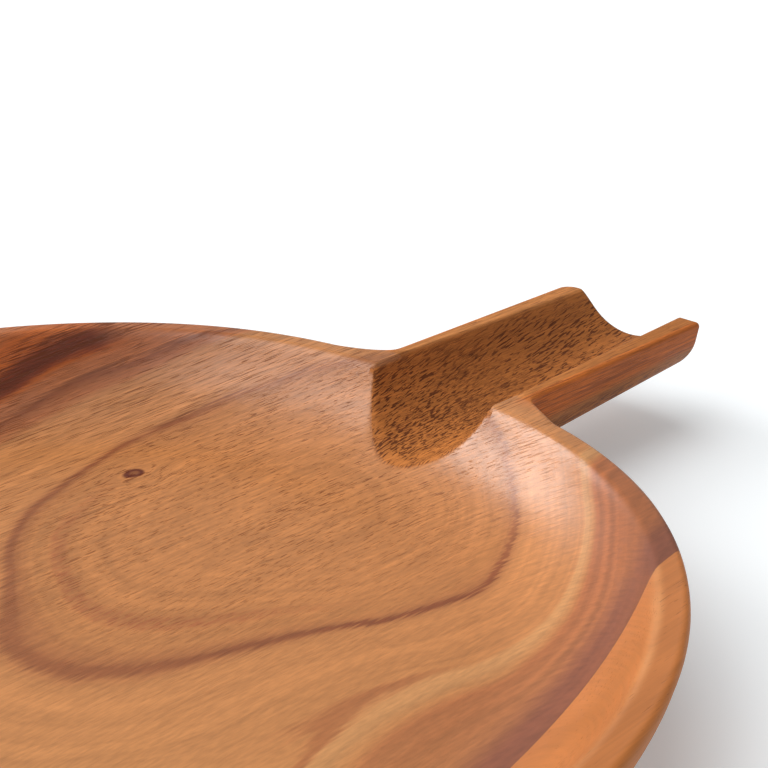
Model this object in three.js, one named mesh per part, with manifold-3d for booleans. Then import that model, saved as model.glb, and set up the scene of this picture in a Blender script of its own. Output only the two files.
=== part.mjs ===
// A round serving tray carved from a blank of two edge-glued boards: a shallow bowl with a flat rim, and a
// straight open trough that cuts through the rim and runs out as a handle and spout.
// Millimetres, +Z up. The origin is under the bowl's centre, on the surface that the tray stands on, and
// the trough runs along +X.
import * as THREE from 'three';
import { mergeVertices } from 'three/addons/utils/BufferGeometryUtils.js';
import Module from 'manifold-3d';

const wasm = await Module();
wasm.setup();

// Bowl
const BOWL_RADIUS = 150; // outside of the rim
const BOWL_DEPTH = 24; // rim down to the bowl's flat floor
const FLOOR_THICKNESS = 10; // wood under that floor
const RIM_WIDTH = 6.5; // outside of the rim to the inner end of its flat top
const RIM_OUTER_ROUND = 1.8; // rounding of the rim's outer edge
const RIM_INNER_ROUND = 2; // rounding of the rim's inner edge
const INNER_SWEEP = 40; // radius of the hollow's curve from floor to rim
const OUTER_SWEEP = 41; // radius of the outside's curve from base to rim
const SHOULDER_EASE = 6; // how far the round outside is drawn in beside the trough
const HOLLOW_EASE = 5.5; // the same for the hollow, which leaves the rim narrower there
const SHOULDER_SPREAD = 24; // degrees either side of the trough over which that fades

// Trough handle
const STEM_LENGTH = 83; // outside of the rim to the square tip
const STEM_WIDTH = 53.5; // outside, at the rim's level
const STEM_FLOOR = 9; // wood under the channel
const STEM_SECTION_POWER = 3; // 2 is an ellipse below the rim's level, more is squarer
const STEM_EDGE_ROUND = 1.2; // rounding of the outer top edges
const SIDE_TAPER = 0.16; // how much the sides lean in, for each millimetre down
const TIP_ROUND = 1.8; // rounding of all edges at the tip
const NECK_INSET = 1; // outside of the rim back to where the trough's straight left side ends
const NECK_LENGTH = 9.5; // along the trough, where its sides spread out to meet the rim
const NECK_SPREAD = 17.2; // how far the left side has spread there, seen from above
const NECK_SPLAY = 0.75; // slope at which that spread begins
const NECK_INSET_RIGHT = 2.3; // the inset on the right side, which spreads out straight
const NECK_SPLAY_RIGHT = 2.15; // slope of that side's spread
const WALL_TOP_NECK = 2.75; // flat top of the trough's wall where it leaves the rim
const WALL_TOP_TIP = 6.8; // the same at the tip
const LIP_ROUND = 2.5; // rounding of the channel's upper edges
const CHANNEL_DEPTH_TIP = 10.6; // rim's level down to the channel's floor at the tip
const MOUTH_SILL = 5.4; // step up from the bowl's floor to the channel's floor

// Boards
const SIDE_BOARD_WIDTH = 31.7; // from the rim's outside in to the glued edge, square to that edge
const JOINT_SKEW = 6.3; // degrees that the glued edge is turned from the trough's direction
const GLUE_LINE = 0.3; // gap between the two glued edges

// Facets
const ROUND_SEGMENTS = 96; // round the bowl
const SWEEP_STEPS = 9; // along each long curve of the bowl's profile
const EDGE_STEPS = 3; // across each rounded edge
const STEM_STEPS = 22; // round the underside of the trough
const CHANNEL_STEPS = 16; // round the channel
const NECK_STEPS = 18; // along the spread at the neck
const OVERSHOOT = 12; // how far a cutting solid reaches past the wood

const RIM_Z = FLOOR_THICKNESS + BOWL_DEPTH;
const TIP_X = BOWL_RADIUS + STEM_LENGTH;
const RIM_INNER = BOWL_RADIUS - RIM_WIDTH;
const JOINT_REACH = BOWL_RADIUS - SIDE_BOARD_WIDTH;

const WOOD = { main: 0x96602f, side: 0xa9642f };
const ROUGHNESS = 0.45;

// How far along a circle runs, from its lowest point, until it has climbed by `rise`.
function reachOf(radius, rise) {
  return Math.sqrt(2 * radius * rise - rise * rise);
}

// The outside: flat base, a long curve tangent to it, and the rim's rounded outer edge.
const BASE_RADIUS =
  BOWL_RADIUS - RIM_OUTER_ROUND - reachOf(OUTER_SWEEP - RIM_OUTER_ROUND, RIM_Z - 2 * RIM_OUTER_ROUND);

function outsideProfile() {
  const edgeX = BOWL_RADIUS - RIM_OUTER_ROUND;
  const edgeZ = RIM_Z - RIM_OUTER_ROUND;
  const meet = Math.atan2(edgeZ - OUTER_SWEEP, edgeX - BASE_RADIUS);
  return [
    new THREE.Vector2(0, 0),
    ...arc(BASE_RADIUS, OUTER_SWEEP, OUTER_SWEEP, -Math.PI / 2, meet, SWEEP_STEPS),
    ...arc(edgeX, edgeZ, RIM_OUTER_ROUND, meet, Math.PI / 2, EDGE_STEPS + 1).slice(1),
    new THREE.Vector2(0, RIM_Z),
  ];
}

// The hollow: flat floor, a long curve tangent to it, and the rim's rounded inner edge.
const FLOOR_RADIUS = RIM_INNER - reachOf(INNER_SWEEP + RIM_INNER_ROUND, BOWL_DEPTH);

function hollowProfile() {
  const sweepZ = FLOOR_THICKNESS + INNER_SWEEP;
  const edgeZ = RIM_Z - RIM_INNER_ROUND;
  const meet = Math.atan2(edgeZ - sweepZ, RIM_INNER - FLOOR_RADIUS);
  return [
    new THREE.Vector2(0, FLOOR_THICKNESS),
    ...arc(FLOOR_RADIUS, sweepZ, INNER_SWEEP, -Math.PI / 2, meet, SWEEP_STEPS),
    ...arc(RIM_INNER, edgeZ, RIM_INNER_ROUND, meet + Math.PI, Math.PI / 2, EDGE_STEPS).slice(1),
    new THREE.Vector2(RIM_INNER, RIM_Z + OVERSHOOT),
    new THREE.Vector2(0, RIM_Z + OVERSHOOT),
  ];
}

function arc(x, y, radius, from, to, steps) {
  return Array.from({ length: steps + 1 }, (_, i) => {
    const angle = from + ((to - from) * i) / steps;
    return new THREE.Vector2(x + radius * Math.cos(angle), y + radius * Math.sin(angle));
  });
}

// How much of its full radius a round outline keeps, by the angle from the trough.
function easedShare(ease, angle) {
  const spread = THREE.MathUtils.degToRad(SHOULDER_SPREAD);
  return 1 - (ease / BOWL_RADIUS) * Math.exp(-((angle / spread) ** 2));
}

// A turned solid about the bowl's axis, with its outline drawn in beside the trough.
function turned(profile, ease) {
  const geometry = new THREE.LatheGeometry(profile, ROUND_SEGMENTS).rotateX(Math.PI / 2);
  const position = geometry.getAttribute('position');
  for (let i = 0; i < position.count; i++) {
    const share = easedShare(ease, Math.atan2(position.getY(i), position.getX(i)));
    position.setX(i, position.getX(i) * share);
    position.setY(i, position.getY(i) * share);
  }
  return solidFrom(geometry);
}

// A solid skinned over sections, each with its x and as many [y, z] points as the others, ordered
// counterclockwise as seen from +X. Both ends close on the section's hub, a [y, z] point inside it.
function lofted(sections) {
  const size = sections[0].points.length;
  const vertices = [];
  const triangles = [];
  for (const { x, points } of sections) {
    for (const [y, z] of points) vertices.push(x, y, z);
  }
  for (let s = 0; s + 1 < sections.length; s++) {
    for (let i = 0; i < size; i++) {
      const a = s * size + i;
      const b = s * size + ((i + 1) % size);
      triangles.push(a, b, b + size, a, b + size, a + size);
    }
  }
  const last = sections.length - 1;
  for (const [at, turn] of [[0, -1], [last, 1]]) {
    const hub = vertices.length / 3;
    vertices.push(sections[at].x, ...sections[at].hub);
    for (let i = 0; i < size; i++) {
      const a = at * size + i;
      const b = at * size + ((i + 1) % size);
      triangles.push(hub, ...(turn > 0 ? [a, b] : [b, a]));
    }
  }
  const geometry = new THREE.BufferGeometry();
  geometry.setAttribute('position', new THREE.Float32BufferAttribute(vertices, 3));
  geometry.setIndex(triangles);
  return solidFrom(geometry);
}

// The channel's floor climbs evenly from the bowl's wall to the tip, and its walls thicken on the way.
const MOUTH_X = FLOOR_RADIUS + reachOf(INNER_SWEEP, MOUTH_SILL);

function channelDepth(x) {
  const along = THREE.MathUtils.clamp((x - MOUTH_X) / (TIP_X - MOUTH_X), 0, 1);
  return THREE.MathUtils.lerp(BOWL_DEPTH - MOUTH_SILL, CHANNEL_DEPTH_TIP, along);
}

function channelHalfWidth(x) {
  const along = THREE.MathUtils.clamp((x - BOWL_RADIUS) / STEM_LENGTH, 0, 1);
  return STEM_WIDTH / 2 - THREE.MathUtils.lerp(WALL_TOP_NECK, WALL_TOP_TIP, along);
}

// Across the channel: a round floor that turns over into a rounded lip on each side. `flare` opens it out
// at the tip. The floor's arc and both lips are tangent, and the lips end level with the rim.
function channelSection(x, flare) {
  const depth = channelDepth(x) + flare;
  const half = channelHalfWidth(x) + flare;
  const reach = (half * half + depth * depth) / (2 * depth);
  const tilt = Math.asin(half / reach);
  const floorRadius = reach - LIP_ROUND;
  const floorZ = RIM_Z - depth + floorRadius;
  const lipZ = RIM_Z - LIP_ROUND;
  const down = -Math.PI / 2;
  const points = [
    [half, RIM_Z + OVERSHOOT],
    [-half, RIM_Z + OVERSHOOT],
    ...pairs(arc(-half, lipZ, LIP_ROUND, Math.PI / 2, Math.PI / 2 - tilt, EDGE_STEPS)),
    ...pairs(arc(0, floorZ, floorRadius, down - tilt, down + tilt, CHANNEL_STEPS)).slice(1),
    ...pairs(arc(half, lipZ, LIP_ROUND, Math.PI / 2 + tilt, Math.PI / 2, EDGE_STEPS)).slice(1),
  ];
  return { x, points, hub: [0, RIM_Z] };
}

function pairs(points) {
  return points.map((p) => [p.x, p.y]);
}

function channel() {
  const sections = [FLOOR_RADIUS, MOUTH_X, BOWL_RADIUS].map((x) => channelSection(x, 0));
  for (let i = 0; i <= EDGE_STEPS; i++) {
    const turn = ((Math.PI / 2) * i) / EDGE_STEPS;
    const x = TIP_X - TIP_ROUND + TIP_ROUND * Math.sin(turn);
    sections.push(channelSection(x, TIP_ROUND * (1 - Math.cos(turn))));
  }
  sections.push({ ...sections.at(-1), x: TIP_X + OVERSHOOT });
  return lofted(sections);
}

// The trough's straight sides end just inside the rim's full radius and then spread out to meet its drawn-in
// outline.
const NECK_X = BOWL_RADIUS - NECK_INSET;

// How far the bowl's outside lies in from the rim at a height over the base.
function outsideRecess(z) {
  return Math.max(BOWL_RADIUS - BASE_RADIUS - reachOf(OUTER_SWEEP, Math.max(z, 0)), 0);
}

// How much that spread adds to the trough's half width. Lower down it follows the bowl's outside in.
// `side` is 1 on the left and -1 on the right.
function neckFlare(x, z, side) {
  const inset = side > 0 ? NECK_INSET : NECK_INSET_RIGHT;
  const back = THREE.MathUtils.clamp(BOWL_RADIUS - inset - x - outsideRecess(z), 0, NECK_LENGTH);
  if (side < 0) return NECK_SPLAY_RIGHT * back;
  const bend = NECK_SPREAD - NECK_SPLAY * NECK_LENGTH;
  return NECK_SPLAY * back + bend * (back / NECK_LENGTH) ** 2;
}

// Across the trough's outside: level top, rounded top edges and a squarish round underside, all of it drawn
// in by `inset` at the tip.
function stemSection(x, inset) {
  const half = STEM_WIDTH / 2 - inset;
  const top = RIM_Z - inset;
  const sideZ = top - STEM_EDGE_ROUND;
  const drop = channelDepth(x) + STEM_FLOOR - 2 * inset - STEM_EDGE_ROUND;
  const power = 2 / STEM_SECTION_POWER;
  const under = Array.from({ length: STEM_STEPS + 1 }, (_, i) => {
    const turn = Math.PI - (Math.PI * i) / STEM_STEPS;
    const side = Math.sign(Math.cos(turn));
    const below = drop * Math.sin(turn) ** power;
    const reach = half + neckFlare(x, sideZ - below, side) - SIDE_TAPER * below;
    return [reach * side * Math.abs(Math.cos(turn)) ** power, sideZ - below];
  });
  const leftY = half + neckFlare(x, sideZ, 1) - STEM_EDGE_ROUND;
  const rightY = half + neckFlare(x, sideZ, -1) - STEM_EDGE_ROUND;
  const points = [
    ...pairs(arc(-rightY, sideZ, STEM_EDGE_ROUND, Math.PI / 2, Math.PI, EDGE_STEPS)),
    ...under.slice(1, -1),
    ...pairs(arc(leftY, sideZ, STEM_EDGE_ROUND, 0, Math.PI / 2, EDGE_STEPS)),
  ];
  return { x, points, hub: [0, top - drop / 2] };
}

function stem() {
  const sections = [stemSection(FLOOR_RADIUS, 0)];
  const neckStart = NECK_X - NECK_LENGTH - outsideRecess(RIM_Z - channelDepth(MOUTH_X) - STEM_FLOOR);
  for (let i = 0; i <= NECK_STEPS; i++) {
    sections.push(stemSection(THREE.MathUtils.lerp(neckStart, NECK_X, i / NECK_STEPS), 0));
  }
  for (let i = 0; i <= EDGE_STEPS; i++) {
    const turn = ((Math.PI / 2) * i) / EDGE_STEPS;
    const x = TIP_X - TIP_ROUND + TIP_ROUND * Math.sin(turn);
    sections.push(stemSection(x, TIP_ROUND * (1 - Math.cos(turn))));
  }
  return lofted(sections);
}

// A closed geometry as a solid: shared corners merged, and triangles that have shrunk to a line left out.
function solidFrom(geometry) {
  const bare = new THREE.BufferGeometry();
  bare.setAttribute('position', geometry.getAttribute('position'));
  bare.setIndex(geometry.index);
  const merged = mergeVertices(bare);
  const corners = merged.index.array;
  const triVerts = [];
  for (let i = 0; i < corners.length; i += 3) {
    const [a, b, c] = corners.slice(i, i + 3);
    if (a !== b && b !== c && c !== a) triVerts.push(a, b, c);
  }
  const vertProperties = merged.getAttribute('position').array;
  return new wasm.Manifold(
    new wasm.Mesh({ numProp: 3, vertProperties, triVerts: new Uint32Array(triVerts) }),
  );
}

// The strip of the blank between two distances from the bowl's axis, measured square to the glued edge, as
// a plank that is longer and taller than the tray.
function plank(from, to) {
  const length = 2 * (TIP_X + OVERSHOOT);
  const height = 2 * (RIM_Z + OVERSHOOT);
  const geometry = new THREE.BoxGeometry(length, to - from, height);
  geometry.translate(0, (from + to) / 2, 0);
  return solidFrom(geometry.rotateZ(THREE.MathUtils.degToRad(JOINT_SKEW)));
}

function boardMesh(name, color, solid) {
  const { vertProperties, triVerts } = solid.getMesh();
  const geometry = new THREE.BufferGeometry();
  geometry.setAttribute('position', new THREE.BufferAttribute(vertProperties, 3));
  geometry.setIndex(new THREE.BufferAttribute(triVerts, 1));
  geometry.computeVertexNormals();
  const material = new THREE.MeshStandardMaterial({ color, roughness: ROUGHNESS, metalness: 0 });
  const mesh = new THREE.Mesh(geometry, material);
  mesh.name = name;
  return mesh;
}

const blank = turned(outsideProfile(), SHOULDER_EASE).add(stem());
const carved = blank.subtract(turned(hollowProfile(), HOLLOW_EASE)).subtract(channel());

const outer = BOWL_RADIUS + OVERSHOOT;
const mainEdge = -JOINT_REACH + GLUE_LINE / 2;
const sideEdge = -JOINT_REACH - GLUE_LINE / 2;

const tray = new THREE.Group();
tray.name = 'serving_tray';
tray.add(boardMesh('main_board', WOOD.main, carved.intersect(plank(mainEdge, outer))));
tray.add(boardMesh('side_board', WOOD.side, carved.intersect(plank(-outer, sideEdge))));

export default tray;
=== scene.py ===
"""A round wooden serving tray with an open trough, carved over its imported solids.

The blank is a round board with a lane of faces drawn out of its edge for the trough. Its top is then
lowered to the hollow and the channel, its underside is raised to the bowl's outside, and the blank is sawn
along the glued joint into its two boards. The wood is procedural and runs through each board as it does
through timber.
"""

import math

import bmesh
import bpy
from bl_math import clamp, lerp, smoothstep
from bpy.props import FloatProperty, FloatVectorProperty, PointerProperty
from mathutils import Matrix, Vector


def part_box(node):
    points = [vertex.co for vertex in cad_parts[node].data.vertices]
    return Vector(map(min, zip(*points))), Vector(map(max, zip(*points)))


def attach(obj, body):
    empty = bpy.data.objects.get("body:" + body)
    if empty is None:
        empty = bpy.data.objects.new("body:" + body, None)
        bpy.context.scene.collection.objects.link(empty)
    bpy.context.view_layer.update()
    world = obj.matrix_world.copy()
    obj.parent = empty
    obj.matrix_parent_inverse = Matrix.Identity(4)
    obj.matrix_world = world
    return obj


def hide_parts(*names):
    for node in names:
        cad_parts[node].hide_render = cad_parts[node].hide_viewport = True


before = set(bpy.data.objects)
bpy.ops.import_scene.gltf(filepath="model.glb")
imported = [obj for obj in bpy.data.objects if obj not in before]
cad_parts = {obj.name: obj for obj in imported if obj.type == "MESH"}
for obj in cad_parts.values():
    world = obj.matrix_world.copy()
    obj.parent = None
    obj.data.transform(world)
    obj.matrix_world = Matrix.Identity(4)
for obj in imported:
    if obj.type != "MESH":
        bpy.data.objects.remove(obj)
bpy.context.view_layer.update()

bl_info = {
    "name": "Serving Tray",
    "version": (1, 0, 0),
    "blender": (4, 5, 0),
    "location": "View3D > Sidebar > Tray",
    "description": "Carves a round wooden serving tray with an open trough",
    "category": "Object",
}

MM = 0.001
MAIN_LOW, MAIN_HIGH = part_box("main_board")

# Facets of the blank
TROUGH_RAYS = 120
BOWL_RAYS = 340
TOP_RINGS = 100
UNDER_RINGS = 44
STATIONS = 72
TROUGH_TURN = math.pi * TROUGH_RAYS / (TROUGH_RAYS + BOWL_RAYS)
RING_CROWD = 1.5
RAY_CROWD = 1.6
LANE_CROWD = 0.8
STATION_CROWD = 0.9
BASE_SHARE = 0.3
FIRST_TURN = math.radians(3.6)
MERGE = 1e-6

# Steepest turn that the carved curves are carried on to, and the tip's easing in widths of its edge
HOLLOW_STEEPEST = math.radians(80)
STEEPEST = math.radians(84)
TIP_EASE = 4

# Stage
FLOOR_HALF = 30
FLOOR_GAP = 0.05 * MM
CAMERA_PLACE = (-0.1779, -0.2865, 0.2116)
CAMERA_TURN = (math.radians(67.32), 0, math.radians(-45.8))
CAMERA_LENS = 75.33
SENSOR_WIDTH = 36
OVERHEAD_DIM = (0.45, 0.8, 0, 0.85)

# The wood's figures below are in millimetres, and their rows are the limits that span or band takes

# The hollow as the wood's patterns read it: its floor, its curve, and how far it is drawn in at the trough
FLOOR_RUN = 105.5
SWEEP_RUN = 40
SWEEP_TOP = 50
HOLLOW_DRAWN = 0.0367
DRAWN_TURN = math.radians(24)

# Growth rings of the main board: the pith lies below it, and its depth and drift change along it
PITH_FROM = -150
PITH_TO = 240
PITH_SCALE = 120
PITH_DEPTH = (
    (-150, 104), (-100, 98), (-50, 84), (-20, 71.5), (-6.7, 66), (2.8, 63.2), (11.6, 59.6), (23, 54.5),
    (36.7, 48.6), (50, 43.5), (62, 37), (70, 33), (78, 29.2), (88, 27), (98, 29.2), (107, 31.9), (114, 34),
    (122, 37.4), (130, 38.6), (160, 44), (190, 49), (240, 51),
)
PITH_DRIFT = (
    (-150, -8), (-50, -6), (-6, -4), (3, -3.5), (11.6, 0), (23, 4.7), (36, 7.8), (50, 7.9), (62, 6.8),
    (78, 7.1), (98, 6.4), (125, 7), (160, 5), (240, 2),
)
LEFT_SIDE = (20, 60)
LEFT_FROM = 60
LEFT_LEAN = 0.22
LEFT_LEANING = (82, 104)
RIGHT_FROM = 70
RIGHT_LEAN = (-20, -60, 0, 0.13)
RIGHT_LEANING = (96, 106)
RING_SWAY = 1.6
RING_FEATHER = 1.7

# Colours of the rings: each with the radii and levels of its stops
RING_FROM = 30
RING_TO = 160
RING_TONES = (
    ("heart", (30, 0.97), (42, 1), (45, 0.92), (47, 1), (70, 1), (73, 0.97)),
    ("golden", (76, 0.95), (78, 0.97), (82, 1), (85, 0.95), (88, 0.99), (93.5, 0.91), (98.5, 0.94)),
    ("pale", (100, 0.94), (102.5, 0.95)),
    ("golden", (105.5, 0.9)),
    ("rust", (107.6, 1.1), (110.4, 0.85), (112.6, 1.08), (114.8, 0.8), (117, 1), (119, 0.9), (160, 0.85)),
)
LEFT_TONES = (
    ("golden", (94, 0.98), (103, 0.92)),
    ("rust", (107, 1.15), (109.4, 0.95)),
    ("line", (110.8, 1.05), (111.6, 0.9)),
    ("rust", (112.8, 0.95), (114.2, 1.2), (115.6, 1), (116.8, 1.1)),
    ("ember", (118.4, 0.72)),
    ("patch", (119.8, 1.1), (121.8, 0.8), (125, 1)),
    ("ember", (127.8, 0.85), (131, 0.95)),
    ("rust", (137, 1.2), (160, 1.1)),
)
LEFT_RINGS = (94, 98)
NEAR_PALE = (10, -110, 0, 0.4)

# The knot, longer towards the bowl's middle, and how far the fibres bend round it
KNOT_PLACE = (70.5, 55)
KNOT_WIDE = (-3, 0, 3.3, 2.5)
KNOT_DEEP = 2.25
KNOT_PUSH = 14
KNOT_BEND = 0.7
KNOT_REACH = (0, 2)
KNOT_SHARE = ((0.0, 0.6), (0.2, 0.66), (0.38, 1), (0.5, 0.9), (0.66, 0))

# Dark growth lines: the inner oval, the wide ring with its darker core, and a short line near the joint
OVAL_RINGS = (65.5, 67.2, 68.4, 69.6)
OVAL_ALONG = (70, 30)
OVAL_BROKEN = (0.4, 0.62, 0.1, 0.75)
DARK_RINGS = (71.4, 75.6, 76.6, 79)
DARK_SHARE = 0.45
DARK_ACROSS = (30, -35, 0.88, 1)
DARK_NEAR = (15, 45, 1.3, 1)
DARK_FAR = (95, 125, 1, 0.6)
CORE_RINGS = (74.6, 75.7, 76.3, 77.4)
CORE_TEAR = (20, 60, 1.5, 6)
CORE_SHARE = (15, 60, 0.2, 0.6)
NEAR_RINGS = (97.4, 98.4, 98.9, 100)
NEAR_ALONG = (62, 46, 0, 0.55)

# The dark patch at the left rim
PATCH_TEAR = 4.5
PATCH_RINGS = (119, 122, 128, 134)
PATCH_END_RINGS = (115, 118)
PATCH_END_ALONG = (93, 106)

# The glued joint: its slope across the board, its distance from the bowl's axis and the plum wood beside it
JOINT_SLOPE = 0.1104
JOINT_AWAY = 119
JOINT_TEAR = 5
JOINT_PLUM = (14, 5, 0, 0.92)

# The trough: where its wood starts inside the bowl, on its outside and at its top edges, and its flecks
CARVED_DEEP = (0.03, 0.3)
CARVED_TOP = (33.6, 32.4)
CARVED_ACROSS = (22.8, 24)
CARVED_UNDER = (13, 12)
CARVED_FROM = (114, 143)
SIDES_ALONG = (138, 152)
SIDES_TOP = (33.8, 33)
SIDES_SHARE = (-5, 5, 0.8, 0.3)
OUTSIDE_ACROSS = (24.5, 25.5, 0, 0.9)
OUTSIDE_ALONG = (140, 145)
OUTSIDE_SHARE = 0.55
TIP_DARK = (135, 210, 0, 0.24)
CHANNEL_RISE = 0.24
CHANNEL_ACROSS = (23, 25)
LONGER_ALONG = (150, 190)
FLECKS_UP = (28, 33, 1, 0.6)
FLECK_SHARE = 0.85

# Grain sizes along the board, across the grain's sheets and up them, and the tilt of those sheets
SHEET_TILT = math.radians(58.6)
SWAY_GRAIN = (60, 22, 22)
FEATHER_GRAIN = (14, 0.6, 8)
STREAK_GRAIN = (38, 0.5, 14)
MOTTLE_GRAIN = (4, 0.45, 3)
CLOUD_GRAIN = (26, 9, 9)
CROWD_GRAIN = (40, 14, 14)
LINE_GRAIN = (160, 2.6, 1)
SHADE_RANGE = (0.3, 0.65)
STREAKS_NEAR = (-70, 90, 0.3, 1)
STREAKS_RIGHT = (-90, 0, 0.4, 1)

# Dashes of the open grain: length, width, bareness, and height where they are tall
HEART_PORES = (3.6, 0.22, 0.6, 3)
OUTER_PORES = (9, 0.2, 0.59, 6)
PATCH_PORES = (9, 0.5, 0.5, 6)
SIDE_PORES = (4.5, 0.36, 0.64)
SHORT_FLECKS = (5, 0.46, 0.525)
LONG_FLECKS = (9, 0.6, 0.52)
OUTSIDE_LINES = (26, 0.45, 0.5)
DASH_SOFT = 0.09
CROWD_SWING = 0.25
HEART_RINGS = (70, 80)
PORES_NEAR = (-60, 110, 0.1, 0.7)
PORES_RIGHT = (-80, -15, 0.15, 1)
SIDE_PORE_SHARE = 0.3

# Polish: less of it in open grain, on the trough and outside the rim, and a painted highlight along the
# side board's crest inside the rim
CLOUD_ROUGH = (0.3, 0.7, 0.3, 0.36)
OPEN_ROUGH = 0.22
POLISH = (0, 1, 0.9, 0.2)
STREAK_RELIEF = 0.25
RELIEF_DEPTH = 0.15 * MM
RIM_OUTSIDE = (147.6, 149)
UNDER_DEEP = (2, 3)
UNDER_TOP = (31.5, 30.5)
LIP_HIGHLIGHT_RUN = (140.5, 142.5, 143, 145)
LIP_HIGHLIGHT_BROKEN = (0.35, 0.6, 0.1, 0.38)


def length(name, default, description):
    """A size in metres that a user may change."""
    return FloatProperty(name=name, description=description, default=default, unit="LENGTH", precision=4)


def colour(name, default, description):
    """A colour that a user may change."""
    limits = {"subtype": "COLOR", "min": 0, "max": 1}
    return FloatVectorProperty(name=name, description=description, default=default, **limits)


def ratio(name, default, description):
    """A plain number that a user may change."""
    return FloatProperty(name=name, description=description, default=default)


def turn(name, degrees, description):
    """An angle that a user may change."""
    return FloatProperty(name=name, description=description, default=math.radians(degrees), subtype="ANGLE")


def direction(name, default, description):
    """A direction that a user may change."""
    return FloatVectorProperty(name=name, description=description, default=default, subtype="DIRECTION")


class TraySizes(bpy.types.PropertyGroup):
    """Sizes of the carved tray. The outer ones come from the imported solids."""

    rim_height: length("Rim height", MAIN_HIGH.z, "Base to the flat top of the rim")
    bowl_radius: length("Bowl radius", -MAIN_LOW.x, "Axis to the outside of the rim")
    tip_reach: length("Tip reach", MAIN_HIGH.x, "Axis to the trough's tip")
    bowl_depth: length("Bowl depth", 24 * MM, "Rim down to the flat floor")
    rim_width: length("Rim width", 6.5 * MM, "Outside of the rim to the end of its flat top")
    rim_edge: length("Rim edge", 1.8 * MM, "Rounding of the rim's outer edge")
    rim_lip: length("Rim lip", 2 * MM, "Rounding of the rim's inner edge")
    rim_soft: length("Rim softness", 4 * MM, "Height over which that edge is softened")
    wall_soft_left: length("Left wall softness", 5 * MM, "The same on the trough's left wall")
    wall_soft_right: length("Right wall softness", 1.8 * MM, "The same on the trough's right wall")
    inner_sweep: length("Inner sweep", 40 * MM, "Radius of the hollow's curve")
    outer_sweep: length("Outer sweep", 41 * MM, "Radius of the outside's curve")
    shoulder_ease: length("Shoulder ease", 6 * MM, "How far the outside is drawn in beside the trough")
    hollow_ease: length("Hollow ease", 5.5 * MM, "How far the hollow is drawn in beside the trough")
    shoulder_spread: turn("Shoulder spread", 24, "Turn from the trough that it fades over")
    trough_width: length("Trough width", 53.5 * MM, "Outside width at the rim's level")
    trough_floor: length("Trough floor", 9 * MM, "Wood under the channel")
    trough_edge: length("Trough edge", 1.2 * MM, "Rounding of the trough's outer top edges")
    tip_edge: length("Tip edge", 1.5 * MM, "Rounding of the edges round the tip")
    tip_corner_left: length("Left tip corner", 5 * MM, "Rounding of that corner, seen from above")
    tip_corner_right: length("Right tip corner", 1.5 * MM, "Rounding of that corner, seen from above")
    neck_inset: length("Neck inset", 1 * MM, "Outside of the rim back to the straight left side's end")
    neck_length: length("Neck length", 9.5 * MM, "Along the trough, where its sides spread out")
    neck_spread: length("Neck spread", 17.2 * MM, "How far the left side has spread there")
    neck_soft: length("Neck softness", 1 * MM, "Softness where that spread begins")
    neck_splay: ratio("Neck splay", 0.75, "Slope at which the left side's spread begins")
    neck_inset_right: length("Right neck inset", 2.3 * MM, "The inset on the right side")
    neck_splay_right: ratio("Right neck splay", 2.15, "The splay on the right side")
    wall_top_neck: length("Wall top at the neck", 2.75 * MM, "Width of the trough wall's top there")
    wall_top_tip: length("Wall top at the tip", 6.8 * MM, "Width of the trough wall's top there")
    channel_lip: length("Channel lip", 2.5 * MM, "Rounding of the channel's upper edges")
    channel_depth_tip: length("Channel depth at the tip", 10.6 * MM, "Rim down to the channel's floor")
    mouth_sill: length("Mouth sill", 5.4 * MM, "Bowl's floor up to the channel's floor")
    crest_round: length("Crest round", 2.4 * MM, "Softness of the ridge at the mouth")
    joint_reach: length("Joint reach", 118.3 * MM, "Axis to the glued joint, square to it")
    joint_skew: turn("Joint skew", 6.3, "Turn of the glued joint from the trough")
    section_power: ratio("Section power", 3, "Trough's underside: 2 is an ellipse, more is squarer")
    side_taper: ratio("Side taper", 0.16, "How much the trough's sides lean in")


class WoodColours(bpy.types.PropertyGroup):
    """Colours of the wood in the two boards."""

    heart: colour("Heart", (0.615, 0.238, 0.071), "Wood inside the oval figure")
    golden: colour("Golden", (0.68, 0.27, 0.084), "Wood round the oval figure")
    pale: colour("Pale", (0.7, 0.325, 0.116), "Light bands between the growth lines")
    line: colour("Line", (0.31, 0.088, 0.028), "Dark growth lines")
    plum: colour("Plum", (0.27, 0.082, 0.042), "Purple-brown wood beside the joint")
    rust: colour("Rust", (0.46, 0.145, 0.045), "Red-brown wood round the figure")
    ember: colour("Ember", (0.74, 0.17, 0.018), "Orange-brown wood at the left rim")
    patch: colour("Patch", (0.22, 0.036, 0.005), "Dark patch at the left rim")
    orange: colour("Orange", (0.58, 0.195, 0.05), "Plain wood of the side board")
    trough: colour("Trough", (0.56, 0.19, 0.042), "Wood along the trough")
    fleck: colour("Fleck", (0.08, 0.018, 0.006), "Dark flecks of the trough")
    pore: colour("Pore", (0.16, 0.042, 0.014), "Open pores")
    knot: colour("Knot", (0.12, 0.016, 0.005), "The knot in the floor")


class Studio(bpy.types.PropertyGroup):
    """Light and floor of the stage."""

    floor_colour: colour("Floor", (0.86, 0.9, 0.92), "Colour of the floor")
    floor_glow: ratio("Floor glow", 0.21, "White that the floor adds for the eye")
    ambient: ratio("Ambient", 0.32, "Strength of the light from all round")
    key_strength: ratio("Key strength", 1.1, "Strength of the wide light overhead")
    key_source: direction("Key source", (-0.02, 0.36, 0.93), "Where the key light comes from")
    key_spread: turn("Key spread", 54, "How wide the key light is")
    side_strength: ratio("Side strength", 0.8, "Strength of the light from the left")
    side_source: direction("Side source", (-0.67, 0.22, 0.71), "Where the side light comes from")
    side_spread: turn("Side spread", 42, "How wide the side light is")
    sheen_strength: ratio("Sheen strength", 1.4, "Strength of the low light on the right shoulder")
    sheen_source: direction("Sheen source", (-0.37, 0.81, 0.45), "Where the sheen light comes from")
    sheen_spread: turn("Sheen spread", 34, "How wide the sheen light is")


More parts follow.
